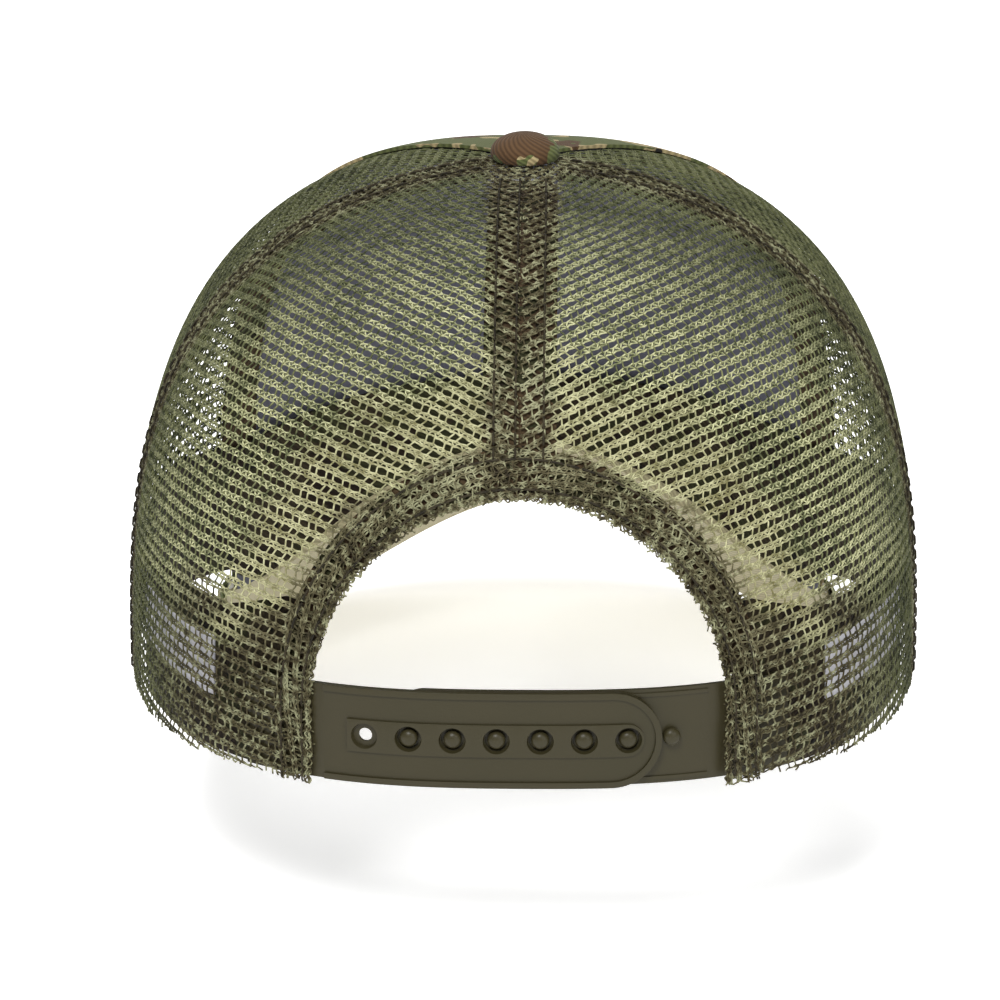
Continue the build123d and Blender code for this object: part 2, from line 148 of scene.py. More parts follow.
# %% Gores
class Gore:
    """A panel in flat lengths, and how it wraps onto the crown."""

    FINEST = 0.5
    WIDEST = 90.0

    def __init__(self, start, end, spare=12.0):
        shares = np.concatenate([np.linspace(1, 0.9, 60)[:-1], np.linspace(0.9, 0.015, 160)])
        self.heights = np.concatenate([[-16.0], height_left(shares)])
        middle = math.radians((start + end) / 2)
        ridge = crown(middle, self.heights)
        self.up = running_length(ridge) - 16.0
        self.angles = np.radians(np.linspace(start - spare, end + spare, 161))
        self.grid = np.arange(-self.WIDEST, self.WIDEST + self.FINEST, self.FINEST)
        table = []
        for height in self.heights:
            ring = crown(self.angles, height)
            across = running_length(ring)
            across -= np.interp(middle, self.angles, across)
            table.append(np.interp(self.grid, across, self.angles))
        self.table = np.array(table)

    def wrap(self, across, up, inset):
        """Points on the crown for flat lengths; a level row runs straight over the dome."""
        dome_radius = self.up[-1] * 2 / math.pi
        swing = across / dome_radius
        polar = (1 - np.minimum(up / self.up[-1], 1)) * math.pi / 2
        turn = np.arctan2(np.sin(swing), np.cos(swing) * np.sin(polar))
        polar = np.arccos(np.cos(polar) * np.cos(swing))
        up = self.up[-1] * (1 - polar * 2 / math.pi)
        across = dome_radius * np.sin(polar) * turn
        row = np.interp(up, self.up, np.arange(len(self.up)))
        column = np.clip((across + self.WIDEST) / self.FINEST, 0, len(self.grid) - 1.001)
        r0 = np.minimum(row.astype(int), len(self.up) - 2)
        c0 = column.astype(int)
        fr = row - r0
        fc = column - c0
        near = self.table[r0, c0] * (1 - fc) + self.table[r0, c0 + 1] * fc
        far = self.table[r0 + 1, c0] * (1 - fc) + self.table[r0 + 1, c0 + 1] * fc
        angle = near * (1 - fr) + far * fr
        return crown(angle, np.interp(up, self.up, self.heights), inset)


class ArchStrip:
    """A strip that follows the edge of the back opening, `up` being the distance from the edge."""

    def __init__(self):
        turn = np.linspace(0, math.pi, 121)
        legs = np.linspace(HEM_HEIGHT, ARCH_SPRING, 12)[:-1]
        self.edge_x = np.concatenate([0 * legs + 1, np.cos(turn), 0 * legs - 1])
        self.edge_z = np.concatenate([legs * 0, np.sin(turn), legs * 0])
        self.leg_z = np.concatenate([legs, 0 * turn + ARCH_SPRING, legs[::-1]])
        middle = ARCH_HALF_WIDTH + BINDING_WIDTH / 2
        line = np.stack([middle * self.edge_x, self.leg_z + ARCH_RISE * self.edge_z], -1)
        self.along = running_length(line)
        self.along -= self.along[-1] / 2

    def wrap(self, across, up, inset):
        """Points on the back of the crown beside the opening."""
        edge_x = np.interp(across, self.along, self.edge_x)
        edge_z = np.interp(across, self.along, self.edge_z)
        x = (ARCH_HALF_WIDTH + 0.78 * up) * edge_x
        height = np.interp(across, self.along, self.leg_z) + (ARCH_RISE + up) * edge_z
        share = np.clip(height / CROWN_HEIGHT, 0, 1)
        reach = (BACK_REACH - inset) * left_at(share, BACK_POWERS)
        width = (HALF_WIDTH - inset) * left_at(share, SIDE_POWERS)
        y = reach * (1 - np.abs(x / width) ** SQUARENESS) ** (1 / SQUARENESS)
        return np.stack([x, y, height], -1)


GORES = {
    "left": Gore(SIDE_SEAM, CENTRE_SEAM),
    "right": Gore(CENTRE_SEAM, 180 - SIDE_SEAM),
}
SIDE_GORES = {
    "left": Gore(FRONT_SEAM, SIDE_SEAM),
    "right": Gore(180 - SIDE_SEAM, 180 - FRONT_SEAM),
}
print("a back panel is", round(GORES["left"].up[-1]), "mm tall along the cloth")

# %% [markdown]
# ## Materials
# Each finish is built from procedural nodes. Patterns that belong to the weave read the piece's own
# UV map, which is kept in real metres, and prints or stains read Object coordinates.


# %% Material helpers
def start_material(name, roughness, sheen=0.0, specular=0.5):
    """A new material with one shader whose constants are set directly."""
    material = bpy.data.materials.new(name)
    material.use_nodes = True
    shader = material.node_tree.nodes["Principled BSDF"]
    shader.inputs["Roughness"].default_value = roughness
    shader.inputs["Sheen Weight"].default_value = sheen
    shader.inputs["Specular IOR Level"].default_value = specular
    return material, material.node_tree, shader


def add_node(tree, kind, **values):
    """A node whose named inputs are set."""
    node = tree.nodes.new(kind)
    for name, value in values.items():
        node.inputs[name.replace("_", " ")].default_value = value
    return node


def noise(tree, coordinates, scale, detail=2.0, roughness=0.5):
    node = add_node(tree, "ShaderNodeTexNoise", Scale=scale, Detail=detail, Roughness=roughness)
    tree.links.new(coordinates, node.inputs["Vector"])
    return node.outputs["Fac"]


def ramp(tree, factor, stops, hard=False):
    """Colours or greys picked by a factor."""
    node = tree.nodes.new("ShaderNodeValToRGB")
    node.color_ramp.interpolation = "CONSTANT" if hard else "LINEAR"
    while len(node.color_ramp.elements) < len(stops):
        node.color_ramp.elements.new(0.5)
    for element, (place, colour) in zip(node.color_ramp.elements, stops):
        element.position = place
        element.color = (*colour, 1.0)
    tree.links.new(factor, node.inputs["Fac"])
    return node.outputs["Color"]


def mix(tree, factor, first, second, kind="MIX"):
    """Two colours mixed by a factor, which may be a number or a socket."""
    node = tree.nodes.new("ShaderNodeMix")
    node.data_type = "RGBA"
    node.blend_type = kind
    for socket, value in ((node.inputs[0], factor), (node.inputs[6], first), (node.inputs[7], second)):
        if isinstance(value, bpy.types.NodeSocket):
            tree.links.new(value, socket)
        elif isinstance(value, tuple):
            socket.default_value = (*value, 1.0)
        else:
            socket.default_value = value
    return node.outputs[2]


def bump(tree, shader, height, strength, distance):
    node = add_node(tree, "ShaderNodeBump", Strength=strength, Distance=distance)
    tree.links.new(height, node.inputs["Height"])
    tree.links.new(node.outputs["Normal"], shader.inputs["Normal"])


def coordinates(tree):
    node = tree.nodes.new("ShaderNodeTexCoord")
    return node.outputs["Object"], node.outputs["UV"]


TWILL_PITCH = 0.0009


def twill(tree, uv):
    """Diagonal ribs of a twill, as a height from 0 to 1."""
    node = add_node(tree, "ShaderNodeTexWave", Scale=0.314 / TWILL_PITCH, Distortion=1.2, Detail=1.0)
    node.bands_direction = "DIAGONAL"
    tree.links.new(uv, node.inputs["Vector"])
    return node.outputs["Fac"]


# %% Cloth finishes
def camo_cloth(name, tan, green, brown, black, blotch=34.0, shift=(0.0, 0.0, 0.0)):
    """Twill with a print in four colours, each blotch picked by its own noise; shift moves the print."""
    material, tree, shader = start_material(name, 0.85, sheen=0.05, specular=0.15)
    place, uv = coordinates(tree)
    move = add_node(tree, "ShaderNodeMapping", Location=shift)
    tree.links.new(place, move.inputs["Vector"])
    place = move.outputs["Vector"]
    white, dark = (1, 1, 1), (0, 0, 0)
    greens = ramp(tree, noise(tree, place, blotch, 3.0, 0.55), [(0, dark), (0.52, white)], hard=True)
    browns = ramp(tree, noise(tree, place, blotch * 1.25, 3.0, 0.6), [(0, dark), (0.57, white)], hard=True)
    blacks = ramp(tree, noise(tree, place, blotch * 1.7, 4.0, 0.65), [(0, dark), (0.61, white)], hard=True)
    colour = mix(tree, greens, tan, green)
    colour = mix(tree, browns, colour, brown)
    colour = mix(tree, blacks, colour, black)
    ribs = twill(tree, uv)
    shade = ramp(tree, ribs, [(0, (0.62, 0.62, 0.62)), (1, (1.08, 1.08, 1.08))])
    colour = mix(tree, 1.0, colour, shade, "MULTIPLY")
    tree.links.new(colour, shader.inputs["Base Color"])
    bump(tree, shader, ribs, 0.5, 0.0002)
    return material


def plain_twill(name, colour, worn):
    material, tree, shader = start_material(name, 0.85, sheen=0.2, specular=0.25)
    place, uv = coordinates(tree)
    blend = mix(tree, noise(tree, place, 60.0, 3.0), colour, worn)
    ribs = twill(tree, uv)
    shade = ramp(tree, ribs, [(0, (0.72, 0.72, 0.72)), (1, (1.05, 1.05, 1.05))])
    tree.links.new(mix(tree, 1.0, blend, shade, "MULTIPLY"), shader.inputs["Base Color"])
    bump(tree, shader, ribs, 0.5, 0.0002)
    return material


def felted(name, colour, fibre):
    """Non-woven cloth: flat colour broken by crossed fibres."""
    material, tree, shader = start_material(name, 0.9, sheen=0.1, specular=0.2)
    place, uv = coordinates(tree)
    fibres = noise(tree, place, 1100.0, 6.0, 0.7)
    tree.links.new(mix(tree, fibres, colour, fibre), shader.inputs["Base Color"])
    bump(tree, shader, fibres, 0.4, 0.0002)
    return material


def yarn(name, light, dark, roughness=0.6, printed_and_shaded=False):
    """Dyed polyester yarn that varies along the net; where marked, the net's print also turns it khaki or brown, and
    painted shade darkens it at the sides and near the bottom.
    """
    material, tree, shader = start_material(name, roughness, specular=0.15)
    place, uv = coordinates(tree)
    patches = noise(tree, place, 55.0, 3.0, 0.6)
    specks = noise(tree, place, 700.0, 2.0)
    tone = mix(tree, 0.65, patches, specks)
    colour = ramp(tree, tone, [(0.40, dark), (0.60, light)])
    if printed_and_shaded:
        # Red and green of the marked attribute are print; blue is painted shade.
        print_and_shade = tree.nodes.new("ShaderNodeAttribute")
        print_and_shade.attribute_name = "print_and_shade"
        zones = tree.nodes.new("ShaderNodeSeparateColor")
        tree.links.new(print_and_shade.outputs["Color"], zones.inputs["Color"])
        khaki = ramp(tree, tone, [(0.36, (0.15, 0.14, 0.06)), (0.6, (0.42, 0.41, 0.24))])
        brown = ramp(tree, tone, [(0.38, (0.020, 0.014, 0.007)), (0.50, (0.065, 0.052, 0.025)), (0.62, (0.25, 0.25, 0.15))])
        shaded = ramp(tree, tone, [(0.36, (0.014, 0.017, 0.007)), (0.62, (0.085, 0.093, 0.037))])
        colour = mix(tree, zones.outputs["Blue"], colour, shaded)
        colour = mix(tree, zones.outputs["Red"], colour, khaki)
        colour = mix(tree, zones.outputs["Green"], colour, brown)
    tree.links.new(colour, shader.inputs["Base Color"])
    bump(tree, shader, noise(tree, place, 5000.0, 2.0), 0.3, 0.0001)
    return material


def moulded(name, colour, scuffed):
    """Satin plastic with a faint moulding texture."""
    material, tree, shader = start_material(name, 0.38, specular=0.2)
    place, uv = coordinates(tree)
    tree.links.new(mix(tree, noise(tree, place, 45.0, 3.0), colour, scuffed), shader.inputs["Base Color"])
    bump(tree, shader, noise(tree, place, 1400.0, 3.0, 0.6), 0.12, 0.0003)
    return material


TAN, GREEN, BROWN, BLACK = (0.36, 0.29, 0.15), (0.10, 0.115, 0.04), (0.085, 0.047, 0.022), (0.012, 0.011, 0.009)
front_cloth = camo_cloth("front camouflage twill", TAN, GREEN, BROWN, BLACK)
# The sweatband's camouflage colours are its own dark print, further darkened as painted shade inside the crown.
BAND_COLOURS = (0.032, 0.024, 0.012), (0.028, 0.028, 0.010), (0.016, 0.010, 0.005), (0.006, 0.005, 0.003)
TAPE_COLOURS = (0.062, 0.040, 0.020), (0.036, 0.036, 0.015), (0.042, 0.025, 0.012), (0.014, 0.010, 0.006)
button_cloth = camo_cloth("button camouflage twill", TAN, GREEN, BROWN, BLACK, 60.0, (0.031, 0.012, 0.0))
band_cloth = camo_cloth("sweatband camouflage twill", *BAND_COLOURS, 60.0)
tape_cloth = camo_cloth("seam tape", *TAPE_COLOURS, 90.0)
visor_cloth = plain_twill("tan under-visor twill", (0.47, 0.42, 0.25), (0.40, 0.36, 0.21))
# The lining's grey is darkened below its own colour as painted shade inside the crown.
grey_lining = felted("grey front lining", (0.085, 0.085, 0.105), (0.14, 0.14, 0.17))
white_lining = felted("bare interlining", (0.62, 0.61, 0.66), (0.80, 0.79, 0.84))
# The three net yarns carry the print zones and the painted shade at the sides and bottom.
net_yarn = yarn("khaki net yarn", (0.47, 0.47, 0.27), (0.13, 0.14, 0.065), printed_and_shaded=True)
tie_yarn = yarn("olive net yarn", (0.17, 0.175, 0.08), (0.030, 0.036, 0.014), printed_and_shaded=True)
fold_yarn = yarn("folded net yarn", (0.16, 0.16, 0.075), (0.024, 0.026, 0.011), printed_and_shaded=True)
dark_thread = yarn("dark stitching", (0.035, 0.028, 0.015), (0.012, 0.010, 0.006), 0.7)
tan_thread = yarn("tan stitching", (0.42, 0.37, 0.22), (0.30, 0.26, 0.15), 0.7)
strap_plastic = moulded("olive drab plastic", (0.026, 0.0232, 0.0098), (0.033, 0.027, 0.012))
print(len(bpy.data.materials), "materials")

# %% [markdown]
# ## Helpers that make pieces
# A cloth piece starts as a flat grid, is wrapped by a placing function, and gets its thickness from a
# Solidify modifier. A yarn starts as a poly curve with a round bevel. Both end as plain meshes whose
# object sits at the origin.


# %% Cloth and strand helpers
def select_only(piece):
    bpy.ops.object.select_all(action="DESELECT")
    piece.select_set(True)
    bpy.context.view_layer.objects.active = piece


def settle(piece, name, material, body, nodes=()):
    """Names a finished piece, gives it its finish and sets it riding."""
    piece.name = name
    piece.data.name = name
    piece.data.materials.clear()
    piece.data.materials.append(material)
    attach(piece, body)
    if nodes:
        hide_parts(*nodes)
    print(name, len(piece.data.polygons), "faces")
    return piece


def cloth(name, columns, rows, place, thickness, size):
    """A grid wrapped by place(p, q), thickened inwards; size is its flat width and height in mm."""
    bpy.ops.object.select_all(action="DESELECT")
    bpy.ops.mesh.primitive_grid_add(x_subdivisions=columns, y_subdivisions=rows, size=2)
    piece = bpy.context.object
    mesh = piece.data
    flat = np.zeros(len(mesh.vertices) * 3)
    mesh.vertices.foreach_get("co", flat)
    flat = flat.reshape(-1, 3)
    p = (flat[:, 0] + 1) / 2
    q = (flat[:, 1] + 1) / 2
    mesh.vertices.foreach_set("co", (place(p, q) * MM).ravel())
    layer = mesh.uv_layers[0].data
    uv = np.zeros(len(layer) * 2)
    layer.foreach_get("uv", uv)
    uv = uv.reshape(-1, 2) * np.array(size) * MM
    layer.foreach_set("uv", uv.ravel())
    mesh.update()
    select_only(piece)
    if thickness:
        shell = piece.modifiers.new("thickness", "SOLIDIFY")
        shell.thickness = thickness * MM
        shell.offset = 1
        bpy.ops.object.modifier_apply(modifier="thickness")
    bpy.ops.object.mode_set(mode="EDIT")
    bpy.ops.mesh.select_all(action="SELECT")
    bpy.ops.mesh.normals_make_consistent(inside=False)
    bpy.ops.object.mode_set(mode="OBJECT")
    bpy.ops.object.shade_smooth_by_angle(angle=math.radians(50))
    return piece


def mark_print_and_shade(mesh):
    """Marks where the net's print is khaki (red) or brown (green), and where painted shade darkens it (blue) at the
    sides toward the front and near the bottom.
    """
    spots = np.zeros(len(mesh.vertices) * 3)
    mesh.vertices.foreach_get("co", spots)
    x, y, z = spots.reshape(-1, 3).T / MM
    x = np.abs(x)
    turn = math.radians(SIDE_SEAM)
    patch = 2.2 * np.sin(x * 0.31 + z * 0.17) + 1.8 * np.sin(z * 0.43 - x * 0.11)
    gap = 43.0 * (np.hypot(x / ARCH_HALF_WIDTH, np.maximum(z - ARCH_SPRING, 0) / ARCH_RISE) - 1)
    behind = y > 20
    khaki = np.clip(1.6 - np.abs(gap - 14 + patch) / 7, 0, 1) * behind * np.clip((z - 22) / 8, 0, 1)
    brown = np.clip(2.4 - x / 3.4 + 0.1 * patch, 0, 0.9) * (y > 2) * (z > 50)
    brown = np.maximum(brown, np.clip(2.8 - np.abs(y * math.cos(turn) - x * math.sin(turn)) / 3.0, 0, 0.8))
    brown = np.maximum(brown, np.clip((10.5 - gap) / 3 + 0.2 * patch, 0, 0.75) * behind)
    # Near the bottom behind, the brown also darkens the net over the sweatband: partly print, partly painted shade.
    brown = np.maximum(brown, np.clip((36 - z) / 8 + 0.3 * patch, 0, 0.8) * behind * np.clip((38 - gap) / 12, 0, 1))
    # Painted shade: the net is darkened at the sides toward the front and near the bottom.
    dark = np.clip((70 - y) / 45, 0, 0.85)
    dark = np.maximum(dark, np.clip((36 - z) / 8, 0, 0.9))
    print_and_shade = mesh.color_attributes.new("print_and_shade", "FLOAT_COLOR", "POINT")
    print_and_shade.data.foreach_set("color", np.stack([khaki, brown, dark, 0 * dark + 1], -1).astype(np.float32).ravel())


def strands(name, lines, radius):
    """Yarns or threads through lists of points in mm, as one mesh."""
    curve = bpy.data.curves.new(name, "CURVE")
    curve.dimensions = "3D"
    curve.bevel_depth = radius * MM
    curve.bevel_resolution = 0
    curve.use_fill_caps = True
    for line in lines:
        spline = curve.splines.new("POLY")
        spline.points.add(len(line) - 1)
        points = np.ones((len(line), 4))
        points[:, :3] = line * MM
        spline.points.foreach_set("co", points.ravel())
    piece = bpy.data.objects.new(name, curve)
    bpy.context.scene.collection.objects.link(piece)
    select_only(piece)
    bpy.ops.object.convert(target="MESH")
    piece = bpy.context.object
    bpy.ops.object.shade_smooth()
    # Marks print zones and painted shade on the yarn's points.
    mark_print_and_shade(piece.data)
    return piece


# %% [markdown]
# ## The net
# The net is knitted in rows: a dense band, then a row of holes with ties between them. Three strands
# make a band, two along its edges that curl round the holes and one that zigzags between them. Two
# more strands climb at every tie. On every other row the ties lean, so the holes turn from round to
# slanted. All of it is laid out flat, wrapped on the gore, and kept only where the panel is.


# %% Net patterns
HOLE_PITCH = 2.0
ROW_PITCH = 2.75
BAND_HALF = 0.62
YARN_RADIUS = 0.19
NET_INSET = 0.45


def band_patterns():
    """Strands of one band: (place along, place across, depth) for one hole pitch each."""
    upper = [(0.0, BAND_HALF + 0.12, 0.0), (0.33, BAND_HALF - 0.10, 0.1), (0.67, BAND_HALF - 0.10, -0.1)]
    lower = [(0.0, -BAND_HALF - 0.12, 0.0), (0.33, 0.10 - BAND_HALF, -0.1), (0.67, 0.10 - BAND_HALF, 0.1)]
    filler = [(0.0, -0.5, 0.12), (0.25, 0.15, -0.16), (0.5, 0.5, 0.12), (0.75, -0.12, -0.16)]
    return [upper, lower, filler]


def tie_patterns(lean):
    """Strands that climb across the holes: one pattern covers two hole pitches."""
    gap = ROW_PITCH
    patterns = []
    for shift in (0.0, 1.0):
        bow = 0.09 if shift else -0.09
        up = [(0.0 + bow, 0.3, 0.05), (0.06 + bow, 0.9, -0.15), (lean + bow, gap - 0.85, -0.15), (lean + bow, gap - 0.25, 0.05)]
        down = [(1.0 + lean - bow, gap - 0.25, 0.05), (1.0 + lean - bow, gap - 0.85, -0.15), (1.06 - bow, 0.9, -0.15), (1.0 - bow, 0.3, 0.05)]
        patterns.append([(a + shift, b, c) for a, b, c in up + down])
    return patterns


def lay_pattern(pattern, repeats, pitch_count):
    """Repeats a pattern along the row; returns place along, across and depth."""
    unit = np.array(pattern)
    starts = np.arange(-repeats, repeats) * pitch_count
    along = (unit[None, :, 0] + starts[:, None]).ravel() * HOLE_PITCH
    across = np.tile(unit[:, 1], 2 * repeats)
    depth = np.tile(unit[:, 2], 2 * repeats)
    return along, across, depth


def net(cut, keep, slope, inset, reach, rows, centre=0.0):
    """Band and tie strands of a net wrapped on a cut and kept where keep(points) is true."""
    turn = math.radians(slope)
    bands, ties = [], []
    repeats = int(reach / HOLE_PITCH)
    for row in range(rows[0], rows[1]):
        lean = 0.28 if row % 2 else -0.04
        jobs = [(bands, pattern, 1) for pattern in band_patterns()]
        jobs += [(ties, pattern, 2) for pattern in tie_patterns(lean)]
        for pile, pattern, pitch_count in jobs:
            along, across, depth = lay_pattern(pattern, repeats // pitch_count, pitch_count)
            across = across + row * ROW_PITCH
            waver = 0.10 * np.sin(along * 0.9 + row * 1.7) + 0.12 * np.sin(along * 0.23 + row)
            flat_across = along * math.cos(turn) - across * math.sin(turn)
            flat_up = along * math.sin(turn) + across * math.cos(turn) + waver + centre
            points = cut.wrap(flat_across, flat_up, inset + depth)
            wanted = keep(points, flat_across, flat_up)
            edges = np.flatnonzero(np.diff(np.concatenate([[0], wanted.astype(int), [0]])))
            for first, last in zip(edges[::2], edges[1::2]):
                if last - first > 2:
                    pile.append(points[first:last])
    return bands, ties


def outside_arch(points, margin):
    """True outside the back opening, which is widened by margin."""
    x = np.abs(points[:, 0])
    z = points[:, 2]
    oval = (x / (ARCH_HALF_WIDTH + margin)) ** 2 + ((z - ARCH_SPRING) / (ARCH_RISE + margin)) ** 2
    return np.where(z > ARCH_SPRING, oval > 1, x > ARCH_HALF_WIDTH + margin)


def hem_at(y):
    """Height of the lower edge of the net: level behind, dipping to the temples."""
    return HEM_HEIGHT - 8.3 * (np.clip(10.0 - y, 0, 80) / 80) ** 2


def panel_keep(start, end, arch):
    """Keeps a panel between its seams, above the hem and outside the arch."""
    first, last = math.radians(start), math.radians(end)

    def keep(points, across, up):
        angle = np.arctan2(points[:, 1], points[:, 0])
        angle = np.where(angle < math.radians(-90), angle + 2 * math.pi, angle)
        ragged = 0.35 * np.sin(across * 5.1) + 0.25 * np.sin(up * 7.3)
        inside = (angle > first) & (angle < last) & (points[:, 2] > hem_at(points[:, 1]) + 0.4 + ragged)
        inside &= np.hypot(points[:, 0], points[:, 1]) > 5.0
        if arch:
            inside &= outside_arch(points, ragged - 0.3)
        return inside

    return keep


NET_SLOPE = 8.0
for side, mirror in (("left", 1), ("right", -1)):
    spans = {"left": (SIDE_SEAM, CENTRE_SEAM), "right": (CENTRE_SEAM, 180 - SIDE_SEAM)}
    keep = panel_keep(*spans[side], arch=True)
    bands, ties = net(GORES[side], keep, -mirror * NET_SLOPE, NET_INSET, 110, (-14, 66))
    piece = strands("bands", bands, YARN_RADIUS)
    settle(piece, f"back_net_{side}_bands", net_yarn, "cap", [f"back_mesh_{side}"])
    piece = strands("ties", ties, YARN_RADIUS)
    settle(piece, f"back_net_{side}_ties", tie_yarn, "cap", [f"back_mesh_{side}"])

    spans = {"left": (FRONT_SEAM, SIDE_SEAM), "right": (180 - SIDE_SEAM, 180 - FRONT_SEAM)}
    keep = panel_keep(*spans[side], arch=False)
    bands, ties = net(SIDE_GORES[side], keep, -mirror * 6.0, NET_INSET, 90, (-8, 60))
    piece = strands("bands", bands, YARN_RADIUS)
    settle(piece, f"side_net_{side}_bands", net_yarn, "cap", [f"side_mesh_{side}"])
    piece = strands("ties", ties, YARN_RADIUS)
    settle(piece, f"side_net_{side}_ties", tie_yarn, "cap", [f"side_mesh_{side}"])

# %% [markdown]
# ## Doubled net along the seams and the arch
# At a seam both panels are turned in, so a second layer of net lies under the first. Round the back
# opening the net is folded over its binding. These layers are the same knit with another direction,
# so their holes fall between the holes above and the fold looks dense.


# %% Folded net
def near_line(angle_deg, half, low_radius, arch_margin=None):
    """Keeps what lies within half a width of a seam."""
    seam = math.radians(angle_deg)

    def keep(points, across, up):
        offset = points[:, 1] * math.cos(seam) - points[:, 0] * math.sin(seam)
        inside = np.abs(offset) < half + 0.3 * np.sin(up * 3.3)
        inside &= np.hypot(points[:, 0], points[:, 1]) > low_radius
        inside &= points[:, 2] > hem_at(points[:, 1])
        if arch_margin is not None:
            inside &= outside_arch(points, arch_margin)
        return inside

    return keep


def arch_keep(points, across, up):
    """Keeps the folded edge of the arch, with a ragged inner edge of cut loops."""
    ragged = 0.25 * np.sin(across * 2.9) + 0.2 * np.sin(across * 7.7)
    return (up > 0.1 + ragged) & (up < BINDING_WIDTH + 0.2) & (points[:, 2] > HEM_HEIGHT)


FOLD_INSET = 0.95
folds = [
    ("seam_fold_back", Gore(76, 104, spare=4), near_line(CENTRE_SEAM, 6.8, 6.0, 3.0), 8.0, 9.0),
    ("seam_fold_left", Gore(4, 30, spare=6), near_line(SIDE_SEAM, 7.8, 7.0), 5.0, 11.0),
    ("seam_fold_right", Gore(150, 176, spare=6), near_line(180 - SIDE_SEAM, 7.8, 7.0), -5.0, 11.0),
]
for name, cut, keep, slope, reach in folds:
    bands, ties = net(cut, keep, slope, FOLD_INSET, reach, (-3, 62))
    settle(strands(name, bands + ties, YARN_RADIUS), name, fold_yarn, "cap")

arch_strip = ArchStrip()
bands, ties = net(arch_strip, arch_keep, 8.0, -0.05, 100, (-6, 9))
across = np.arange(arch_strip.along[0], arch_strip.along[-1], 0.35)
for edge, swing, pitch, depth in ((0.35, 0.35, 1.9, -0.1), (0.9, 0.5, 2.3, 0.25), (1.3, 0.3, 1.7, -0.25)):
    wave = edge + swing * np.sin(across * 2 * math.pi / pitch) + 0.15 * np.sin(across * 0.7)
    bands.append(arch_strip.wrap(across, wave, depth + 0.15 * np.cos(across * 2 * math.pi / pitch)))
settle(strands("arch_fold", bands + ties, YARN_RADIUS), "arch_fold_net", fold_yarn, "cap")

# %% [markdown]
# ## Tapes and the arch binding
# Folded cloth tape covers each seam on the inside and shows through the net as a dark stripe. The
# arch has a wider binding. Each is a wrapped grid that keeps to its seam.


# %% Seam tapes
def share_rows(q, lowest, apex_share):
    """Heights from a lowest edge to near the apex, evenly spaced along the cloth."""
    shares = np.concatenate([np.linspace(1, 0.9, 60)[:-1], np.linspace(0.9, apex_share, 160)])
    heights = height_left(shares)
    length = running_length(crown(math.radians(90), heights))
    total = length[-1] - lowest
    along = lowest + q * total
    return np.where(along < 0, along, np.interp(along, length, heights))


def tape(name, seam_deg, width, lowest, inset, apex_share, node):
    """A strip along one seam."""
    seam = math.radians(seam_deg)

    def place(p, q):
        height = share_rows(q, lowest, apex_share)
        middle = crown(seam + 0 * p, height, inset)
        radius = np.hypot(middle[:, 0], middle[:, 1])
        turn = np.arctan2((p - 0.5) * width, radius)
        return crown(seam + turn, height, inset + 0.12 * np.sin(q * 60) * (p - 0.5))

    piece = cloth(name, 8, 90, place, -0.45, (width, 150))
    return settle(piece, name, tape_cloth, "cap", [node])


BAND_LOW = HEM_HEIGHT + 2.5
LINING_INSET = 1.05
FRONT_TAPE_INSET = 1.75
tape("tape_center_back", CENTRE_SEAM, 15.0, 68.5, 1.3, 0.09, "seam_tape_center_back")
for side in ("left", "right"):
    back_angle = SIDE_SEAM if side == "left" else 180 - SIDE_SEAM
    front_angle = FRONT_SEAM if side == "left" else 180 - FRONT_SEAM
    tape(f"tape_back_{side}", back_angle, 14.0, BAND_LOW, 1.3, 0.09, f"seam_tape_back_{side}")
    tape(f"tape_front_{side}", front_angle, 12.0, -3.0, FRONT_TAPE_INSET, 0.10, f"seam_tape_front_{side}")


def place_binding(p, q):
    across = arch_strip.along[0] + p * (arch_strip.along[-1] - arch_strip.along[0])
    clear_of_strap = np.clip(across, arch_strip.along[0] + 24.0, arch_strip.along[-1] - 24.0)
    return arch_strip.wrap(clear_of_strap, 0.6 + q * (BINDING_WIDTH - 0.6), 1.3 + 0 * p)


piece = cloth("binding", 120, 6, place_binding, -0.45, (150, BINDING_WIDTH))
settle(piece, "arch_binding_tape", tape_cloth, "cap", ["arch_binding"])

# %% [markdown]
# ## Cloth front, lining, sweatband and visor
# The front panel is camouflage twill over a stiff grey lining. Below it the visor is two cloth covers
# on a board, arched from side to side and sloping down. The sweatband runs round the inside of the
# whole opening, ending on both sides of the arch.

# %% Edges of the front
VISOR_JOINT_HEIGHT = 17.8
VISOR_SLOPE = 0.54
VISOR_ARCH_FALL = 30.0
VISOR_ARCH_WIDTH = 31.0
VISOR_HALF_WIDTH = 76.0
VISOR_HALF_LENGTH = 74.0
VISOR_CENTRE_Y = -92.0
VISOR_THICKNESS = 4.0
COVER_THICKNESS = 0.8


def visor_top(x, y):
    """Height of the visor's upper surface, carried on under the crown."""
    fall = VISOR_ARCH_FALL * (np.hypot(1, x / VISOR_ARCH_WIDTH) - 1)
    return VISOR_JOINT_HEIGHT + VISOR_SLOPE * (FRONT_REACH + y) - fall


def turned_up(x):
    """How far the visor's under cloth is turned up inside the crown, below the sweatband."""
    return 1.5 + 2.6 * np.exp(-(((np.abs(x) - 38.0) / 18.0) ** 2))


def front_share(angle):
    """1 in the front sector, 0 behind the temples, with a short blend between."""
    sideways = np.abs((angle + math.pi / 2 + math.pi) % (2 * math.pi) - math.pi)
    return np.clip((math.radians(48) - sideways) / math.radians(6), 0, 1)


def lower_edge(angle, above_hem):
    """Height of a lining's lower edge all round the opening."""
    base = crown(angle, 0 * angle)
    front = visor_top(base[..., 0], base[..., 1]) - VISOR_THICKNESS + 0.2 + turned_up(base[..., 0])
    share = front_share(angle)
    return share * front + (1 - share) * (hem_at(base[..., 1]) + above_hem)


